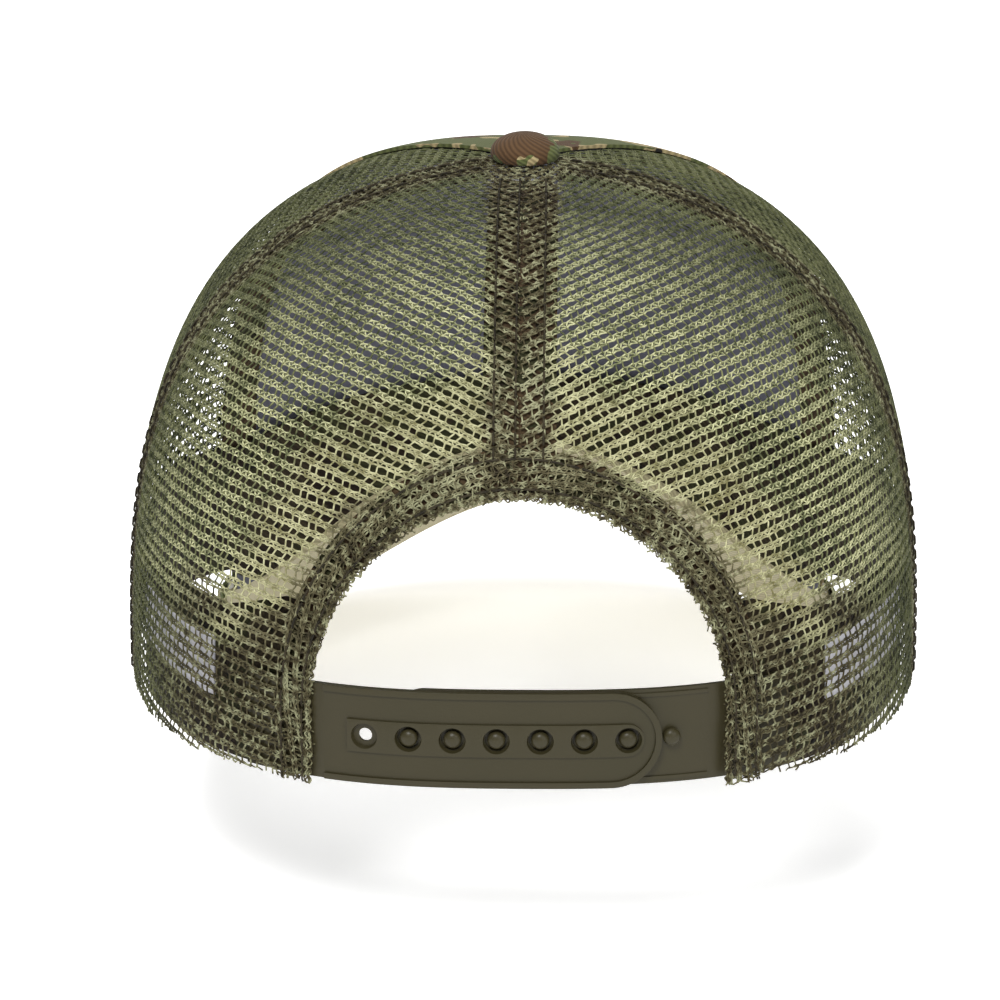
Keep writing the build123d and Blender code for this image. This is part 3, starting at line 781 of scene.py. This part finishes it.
def band_top(angle):
    """Height of the sweatband's upper edge all round the opening."""
    base = crown(angle, 0 * angle)
    side = BAND_TOP - 11.0 * (np.clip(30.0 - base[..., 1], 0, 100) / 100) ** 2
    side += 5.0 * np.clip((63.5 - np.abs(base[..., 0])) / 13.0, 0, 1)
    front = 32.5 - 10.5 * (base[..., 0] / 70.0) ** 2
    share = front_share(angle)
    return share * front + (1 - share) * side


# %% Front panel and its lining
def front_place(inset, apex_share, spread):
    first, last = math.radians(FRONT_SEAM - spread), math.radians(-180 - FRONT_SEAM + spread)

    def place(p, q):
        angle = first + p * (last - first)
        base = crown(angle, 0 * angle)
        lowest = visor_top(base[:, 0], base[:, 1]) - VISOR_THICKNESS + 0.2
        return crown(angle, share_rows(q, lowest, apex_share), inset + 0 * p)

    return place


piece = cloth("front", 90, 90, front_place(0.02, 0.03, 0.15), -0.75, (180, 150))
settle(piece, "front_cloth", front_cloth, "cap", ["front_panel"])
piece = cloth("lining", 60, 60, front_place(1.05, 0.03, 0.4), -0.45, (180, 150))
settle(piece, "front_lining", grey_lining, "cap", ["front_buckram"])


# %% Sweatband and bare interlining
def band_place(first_deg, last_deg, inset, low_rise, high_drop, wave):
    first, last = math.radians(first_deg), math.radians(last_deg)

    def place(p, q):
        angle = first + p * (last - first)
        bottom = lower_edge(angle, 0.6) + low_rise
        top = band_top(angle) - high_drop
        height = bottom + q * (top - bottom)
        depth = inset + wave * np.sin(p * 41.0) * np.sin(q * 3.0) * 0.5
        return crown(angle, height, depth)

    return place


band_start = math.degrees(angle_at(ARCH_HALF_WIDTH + 3.0))
piece = cloth("band", 300, 16, band_place(band_start, -180 - band_start, 3.85, 0, 0, 0.25), -0.8, (560, 32))
settle(piece, "sweatband_cloth", band_cloth, "cap", ["sweatband"])
lining_start = math.degrees(angle_at(65.8))
piece = cloth("bare", 240, 6, band_place(lining_start, -180 - lining_start, 3.15, 12.2, 8.0, 0.1), -0.3, (520, 14))
settle(piece, "sweatband_bare_lining", white_lining, "cap", ["sweatband_interlining"])


# %% Visor
VISOR_CORNER_DEG = 43.9          # plan angle at which the visor's edge leaves the crown
VISOR_CORNER_TURN = 0.305        # the same corner as a turn round the visor's oval, in radians


def visor_place(drop, margin):
    """Maps p across and q outward onto the visor, its surface lowered by drop."""

    def place(p, q):
        angle = math.radians(-VISOR_CORNER_DEG) - p * math.radians(180 - 2 * VISOR_CORNER_DEG)
        inner = crown(angle, 0 * angle, -0.25)
        turn = VISOR_CORNER_TURN - p * (math.pi + 2 * VISOR_CORNER_TURN)
        outer_x = (VISOR_HALF_WIDTH - margin) * np.cos(turn)
        outer_y = VISOR_CENTRE_Y + (VISOR_HALF_LENGTH - margin) * np.sin(turn)
        x = inner[:, 0] + q * (outer_x - inner[:, 0])
        y = inner[:, 1] + q * (outer_y - inner[:, 1])
        return np.stack([x, y, visor_top(x, y) - drop], -1)

    return place


piece = cloth("top", 120, 40, visor_place(0.0, 0.0), -COVER_THICKNESS, (210, 70))
settle(piece, "visor_cloth_top", front_cloth, "cap", ["visor_top_cover"])
rim_outer = visor_place(0.0, -0.35)


def place_rim(p, q):
    """The upper cover turned down round the edge of the board."""
    around = rim_outer(p, 0.996 + 0 * p)
    around[:, 2] -= q * VISOR_THICKNESS
    swell = 0.55 * np.sin(q * math.pi)
    outward = around[:, :2] - np.array([0.0, VISOR_CENTRE_Y])
    around[:, :2] += outward / np.linalg.norm(outward, axis=1)[:, None] * swell[:, None]
    return around


piece = cloth("rim", 160, 6, place_rim, -0.5, (230, VISOR_THICKNESS))
settle(piece, "visor_cloth_rim", front_cloth, "cap", ["visor_top_cover"])


def place_turned_up(p, q):
    """The under cloth's seam allowance, turned up against the inside of the front."""
    angle = math.radians(-50) - p * math.radians(80)
    base = crown(angle, 0 * angle)
    bottom = visor_top(base[:, 0], base[:, 1]) - VISOR_THICKNESS - 0.4
    return crown(angle, bottom + q * (turned_up(base[:, 0]) + 2.2), 1.65 + 0 * p)


piece = cloth("turned", 120, 6, place_turned_up, -0.5, (130, 6))
settle(piece, "visor_cloth_turned_up", visor_cloth, "cap", ["visor_under_cover"])
piece = cloth("under", 120, 40, visor_place(VISOR_THICKNESS - COVER_THICKNESS, 0.0), -COVER_THICKNESS, (210, 70))
settle(piece, "visor_cloth_under", visor_cloth, "cap", ["visor_under_cover"])


# %% [markdown]
# ## Stitching
# Each row of stitches is made of short threads that dip into the cloth at both ends.


# %% Stitch rows
def stitches(line, outward, length, gap, rise):
    """Short threads along a line of points; outward holds the cloth's normals."""
    distance = running_length(line)
    lines = []
    start = 0.3
    while start + length < distance[-1]:
        spots = start + np.array([0.0, 0.2, 0.8, 1.0]) * length
        lift = np.array([-0.15, rise, rise, -0.15])
        place = np.stack([np.interp(spots, distance, line[:, axis]) for axis in range(3)], -1)
        away = np.stack([np.interp(spots, distance, outward[:, axis]) for axis in range(3)], -1)
        lines.append(place + away * lift[:, None])
        start += length + gap
    return lines


def crown_normals(points):
    """Outward directions that are near enough for lifting thread."""
    away = points / np.array([HALF_WIDTH, BACK_REACH, CROWN_HEIGHT]) ** 2
    away[:, 2] = np.maximum(away[:, 2] - 0.002, 0)
    return away / np.linalg.norm(away, axis=1)[:, None]


def seam_line(seam_deg, offset, lowest, inset, apex_share=0.10):
    """A line beside a seam, from a lowest height up to the button."""
    seam = math.radians(seam_deg)
    height = share_rows(np.linspace(0, 1, 160), lowest, apex_share)
    middle = crown(seam + 0 * height, height, inset)
    radius = np.hypot(middle[:, 0], middle[:, 1])
    return crown(seam + np.arctan2(offset, radius), height, inset)


dark_rows = []
for offset in (-5.2, -0.8, 4.9):
    line = seam_line(CENTRE_SEAM, offset, 68.5, 0.1)
    dark_rows += stitches(line, crown_normals(line), 2.6, 0.7, 0.25)
for seam_deg in (SIDE_SEAM, 180 - SIDE_SEAM):
    for offset in (-3.6, 3.6):
        line = seam_line(seam_deg, offset, HEM_HEIGHT + 2.0, 0.1)
        dark_rows += stitches(line, crown_normals(line), 2.6, 0.7, 0.25)
for up in (2.4, 8.0):
    across = np.linspace(arch_strip.along[0], arch_strip.along[-1], 300)
    line = arch_strip.wrap(across, up + 0 * across, -0.3)
    dark_rows += stitches(line, crown_normals(line), 2.6, 0.7, 0.25)
settle(strands("dark", dark_rows, 0.24), "dark_stitch_rows", dark_thread, "cap")

visor_rows = []
for level in np.linspace(0.22, 0.965, 8):
    p = np.linspace(0.03, 0.97, 200)
    for drop, away in ((0.0, 1.0), (VISOR_THICKNESS, -1.0)):
        line = visor_place(drop, 0.0)(p, level + 0 * p)
        outward = np.tile([0.0, 0.5 * away, 0.85 * away], (len(p), 1))
        visor_rows += stitches(line, outward, 2.4, 0.6, 0.16)
settle(strands("visor", visor_rows, 0.2), "visor_stitch_rows", tan_thread, "cap")

# %% [markdown]
# ## Button
# The button is a pressed dome covered in a disc of the same cloth, drawn in underneath. It starts as
# a sphere, is flattened, and its lower half is cut away.

# %% Button
BUTTON_RADIUS = high("button_cover")[0]
button_low = low("button_cover")[2]
button_high = high("button_cover")[2]
bpy.ops.object.select_all(action="DESELECT")
bpy.ops.mesh.primitive_uv_sphere_add(segments=64, ring_count=40, radius=1.0)
piece = bpy.context.object
mesh = piece.data
for vertex in mesh.vertices:
    x, y, z = vertex.co
    rounder = max(z, -0.35)
    turn = math.atan2(y, x)
    pleat = 1 - 0.012 * math.cos(turn * 14) * max(0.0, 0.35 - rounder)
    vertex.co.x = x * pleat * BUTTON_RADIUS * MM
    vertex.co.y = y * pleat * BUTTON_RADIUS * MM
    vertex.co.z = (button_low + (rounder + 0.35) / 1.35 * (button_high - button_low)) * MM
layer = mesh.uv_layers[0].data
uv = np.zeros(len(layer) * 2)
layer.foreach_get("uv", uv)
layer.foreach_set("uv", (uv.reshape(-1, 2) * [2 * math.pi * BUTTON_RADIUS * MM, 0.02]).ravel())
bpy.ops.object.shade_smooth()
settle(piece, "button_cloth", button_cloth, "cap", ["button_cover", "button_core"])

# %% [markdown]
# ## The snap straps
# The two straps are moulded plastic: a plate with a round end, a bead along its edge, a raised tab
# with seven holes, and pegs with wide heads on the inner strap. They are modelled flat, where circles
# and straight edges are easy, cut into short lengths, and then bent to the curve of the crown.

# %% The strap's curve
STRAP_MIDDLE = (STRAP_LOW + STRAP_HIGH) / 2
STRAP_WIDTH = STRAP_HIGH - STRAP_LOW
REFERENCE_INSET = 1.6
curve_angle = np.radians(np.linspace(150, 30, 400))
curve_points = crown(curve_angle, 0 * curve_angle, REFERENCE_INSET)
curve_length = running_length(curve_points)
curve_length -= np.interp(0.0, curve_points[:, 0], curve_length)
curve_slope = np.gradient(curve_points[:, 1], curve_points[:, 0])


def along(x):
    """Distance along the strap's curve from its middle to a sideways place x."""
    return float(np.interp(x, curve_points[:, 0], curve_length))


def bend_to_crown(piece):
    """Moves a flat strap (along, depth, up) onto the curve; depth is its inset in the crown."""
    mesh = piece.data
    flat = np.zeros(len(mesh.vertices) * 3)
    mesh.vertices.foreach_get("co", flat)
    flat = flat.reshape(-1, 3)
    x = np.interp(flat[:, 0], curve_length, curve_points[:, 0])
    y = np.interp(flat[:, 0], curve_length, curve_points[:, 1])
    slope = np.interp(flat[:, 0], curve_length, curve_slope)
    size = np.hypot(1, slope)
    out = REFERENCE_INSET - flat[:, 1]
    bent = np.stack([x - slope / size * out, y + out / size, flat[:, 2]], -1)
    mesh.vertices.foreach_set("co", (bent * MM).ravel())
    mesh.update()


# %% Flat plates, cutters and joins
def apply_all(piece):
    select_only(piece)
    for modifier in list(piece.modifiers):
        bpy.ops.object.modifier_apply(modifier=modifier.name)


def plate(square_x, round_x, width, outer, inner, soften, corner=None):
    """Flat plate between two depths, square at one end and with round corners at the other."""
    toward = math.copysign(1, round_x - square_x)
    corner = corner or width / 2
    centre = along(round_x) - toward * corner
    bpy.ops.object.select_all(action="DESELECT")
    bpy.ops.mesh.primitive_circle_add(vertices=96, radius=corner, fill_type="NGON", rotation=(math.pi / 2, 0, 0))
    piece = bpy.context.object
    bpy.ops.object.transform_apply(location=False, rotation=True, scale=False)
    for vertex in piece.data.vertices:
        on_square_side = vertex.co.x * toward < -corner * 0.002
        spread = math.copysign(width / 2 - corner, vertex.co.z) if abs(vertex.co.z) > corner * 0.002 else 0.0
        vertex.co.x = along(square_x) if on_square_side else vertex.co.x + centre
        vertex.co.y = outer
        vertex.co.z += STRAP_MIDDLE + spread
    bpy.ops.object.mode_set(mode="EDIT")
    bpy.ops.mesh.select_all(action="SELECT")
    bpy.ops.mesh.extrude_region_move(TRANSFORM_OT_translate={"value": (0, inner - outer, 0)})
    bpy.ops.mesh.select_all(action="SELECT")
    bpy.ops.mesh.normals_make_consistent(inside=False)
    bpy.ops.object.mode_set(mode="OBJECT")
    rim = piece.modifiers.new("rim", "BEVEL")
    rim.width = soften
    rim.segments = 3
    rim.limit_method = "ANGLE"
    rim.angle_limit = math.radians(40)
    apply_all(piece)
    return piece


def combine(piece, tool, operation):
    """Joins or cuts two flat solids and removes the tool."""
    step = piece.modifiers.new("combine", "BOOLEAN")
    step.operation = operation
    step.solver = "EXACT"
    step.object = tool
    apply_all(piece)
    bpy.data.objects.remove(tool, do_unlink=True)


def post(x, radius, top_radius, outer, inner, up=STRAP_MIDDLE):
    """Round post or cutter square to the flat strap, between two depths."""
    bpy.ops.object.select_all(action="DESELECT")
    bpy.ops.mesh.primitive_cone_add(
        vertices=48, radius1=radius, radius2=top_radius, depth=inner - outer,
        location=(along(x), (outer + inner) / 2, up), rotation=(math.pi / 2, 0, 0),
    )
    bpy.ops.object.transform_apply(location=True, rotation=True, scale=False)
    return bpy.context.object


def cut_into_lengths(piece, first, last, step=1.6):
    """Bisects a flat strap so that it can bend."""
    select_only(piece)
    bpy.ops.object.mode_set(mode="EDIT")
    place = first
    while place < last:
        bpy.ops.mesh.select_all(action="SELECT")
        bpy.ops.mesh.bisect(plane_co=(place, 0, 0), plane_no=(1, 0, 0))
        place += step
    bpy.ops.object.mode_set(mode="OBJECT")


def finish_strap(piece, name, nodes):
    """Bends a flat strap, smooths it, names it and gives it its finish."""
    cut_into_lengths(piece, along(-56), along(56))
    bend_to_crown(piece)
    select_only(piece)
    bpy.ops.object.shade_smooth_by_angle(angle=math.radians(35))
    settle_name(piece, name, strap_plastic, nodes)
    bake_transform(piece)


def settle_name(piece, name, material, nodes):
    piece.name = name
    piece.data.name = name
    piece.data.materials.clear()
    piece.data.materials.append(material)
    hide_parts(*nodes)
    print(name, len(piece.data.polygons), "faces")


# %% Outer strap with holes
SNAP_PITCH = 8.95
FIRST_SNAP_X = 31.3
SNAP_XS = [FIRST_SNAP_X - SNAP_PITCH * index for index in range(8)]
HINGE_X = 39.0
ROOT_X = 56.0
OUTER_TIP_X = -29.2
INNER_TIP_X = 26.0
BEAD = 1.3

strap = plate(ROOT_X, OUTER_TIP_X, STRAP_WIDTH, 1.02, 2.2, 0.15)
ring = plate(HINGE_X + 0.6, OUTER_TIP_X, STRAP_WIDTH, 0.5, 1.3, 0.28)
inside = plate(HINGE_X + 20, OUTER_TIP_X + BEAD, STRAP_WIDTH - 2 * BEAD, 0.0, 2.0, 0.05)
combine(ring, inside, "DIFFERENCE")
combine(strap, ring, "UNION")
combine(strap, plate(34.8, -25.6, 7.0, 0.52, 1.3, 0.2), "UNION")
for index, x in enumerate(SNAP_XS[:7]):
    combine(strap, post(x, 2.5, 2.8, 0.3, 1.62), "DIFFERENCE")
    hole = 2.4 if index else 1.4
    combine(strap, post(x, hole, hole, 0.3, 3.0), "DIFFERENCE")
finish_strap(strap, "outer_strap_moulding", ["strap_female", "strap_female_root"])

# %% Inner strap with pegs
strap = plate(-ROOT_X, INNER_TIP_X, STRAP_WIDTH, 2.4, 3.4, 0.15, corner=7.0)
for edge in (-1, 1):
    ridge = plate(-HINGE_X, INNER_TIP_X - 8, 0.8, 2.1, 2.7, 0.15)
    for vertex in ridge.data.vertices:
        vertex.co.z += edge * (STRAP_WIDTH / 2 - 1.2)
    combine(strap, ridge, "UNION")
for x in SNAP_XS[1:]:
    combine(strap, post(x, 1.35, 1.35, 1.2, 2.7), "UNION")
    bpy.ops.object.select_all(action="DESELECT")
    bpy.ops.mesh.primitive_uv_sphere_add(
        segments=40, ring_count=24, radius=1.0, location=(along(x), 1.45, STRAP_MIDDLE), scale=(1.85, 1.25, 1.85),
    )
    bpy.ops.object.transform_apply(location=True, rotation=True, scale=True)
    combine(strap, bpy.context.object, "UNION")
finish_strap(strap, "inner_strap_moulding", ["strap_male", "strap_male_root"])

# %% Finishes of the frame's own pieces
board = moulded("visor board", (0.62, 0.60, 0.54), (0.55, 0.52, 0.46))
steel = moulded("button steel", (0.45, 0.45, 0.46), (0.38, 0.38, 0.40))
steel.node_tree.nodes["Principled BSDF"].inputs["Metallic"].default_value = 1.0
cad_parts["visor_board"].data.materials.clear()
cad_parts["visor_board"].data.materials.append(board)
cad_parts["button_prong"].data.materials.clear()
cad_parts["button_prong"].data.materials.append(steel)

# %% [markdown]
# ## Studio
# A pale floor lies under the visor's lowest point, big soft lamps stand above and in front of the
# back of the cap, and the camera looks from behind and a little above.

# %% Floor, light and camera
FLOOR_HEIGHT = (low("visor_under_cover")[2] - 0.5) * MM
bpy.ops.object.select_all(action="DESELECT")
bpy.ops.mesh.primitive_plane_add(size=30.0, location=(0, 0, FLOOR_HEIGHT))
floor = bpy.context.object
floor.name = "studio_floor"
pale, tree, shader = start_material("studio floor", 0.9)
shader.inputs["Base Color"].default_value = (0.9, 0.9, 0.9, 1)
shader.inputs["Emission Color"].default_value = (1, 1, 1, 1)
shader.inputs["Emission Strength"].default_value = 0.55
floor.data.materials.append(pale)


def lamp(name, place, size, power):
    """A square soft lamp aimed at the crown."""
    bpy.ops.object.light_add(type="AREA", location=place)
    light = bpy.context.object
    light.name = name
    light.data.size = size
    light.data.energy = power
    toward = np.array([0, 0, 0.05]) - np.array(place)
    pitch = math.atan2(math.hypot(toward[0], toward[1]), -toward[2])
    light.rotation_euler = (pitch, 0, math.atan2(toward[1], toward[0]) - math.pi / 2)
    return light


lamp("key_behind", (0.30, 1.4, 1.5), 0.55, 38)
lamp("fill_behind", (-0.9, 1.2, 0.6), 0.9, 8)
lamp("top", (0.0, -0.2, 1.6), 1.2, 12)
lamp("front", (0.3, -1.6, 0.9), 1.0, 8)

world = bpy.data.worlds.new("soft room")
bpy.context.scene.world = world
world.use_nodes = True
world.node_tree.nodes["Background"].inputs["Color"].default_value = (1, 1, 1, 1)
world.node_tree.nodes["Background"].inputs["Strength"].default_value = 0.26
bpy.context.scene.view_settings.view_transform = "Standard"

ELEVATION = math.radians(18.0)
AZIMUTH = math.radians(-1.0)
DISTANCE = 1.05
target = np.array([0.0, 0.0, 0.0301])
away = np.array([math.cos(ELEVATION) * math.sin(AZIMUTH), math.cos(ELEVATION) * math.cos(AZIMUTH), math.sin(ELEVATION)])
side_step = np.array([0.0054, 0.0, 0.0])
camera_data = bpy.data.cameras.new("camera")
camera_data.lens = 170.1
camera_data.sensor_width = 36.0
camera = bpy.data.objects.new("camera", camera_data)
bpy.context.scene.collection.objects.link(camera)
camera.location = target + away * DISTANCE + side_step
camera.rotation_euler = (math.pi / 2 - ELEVATION, 0, math.pi - AZIMUTH)
bpy.context.scene.camera = camera
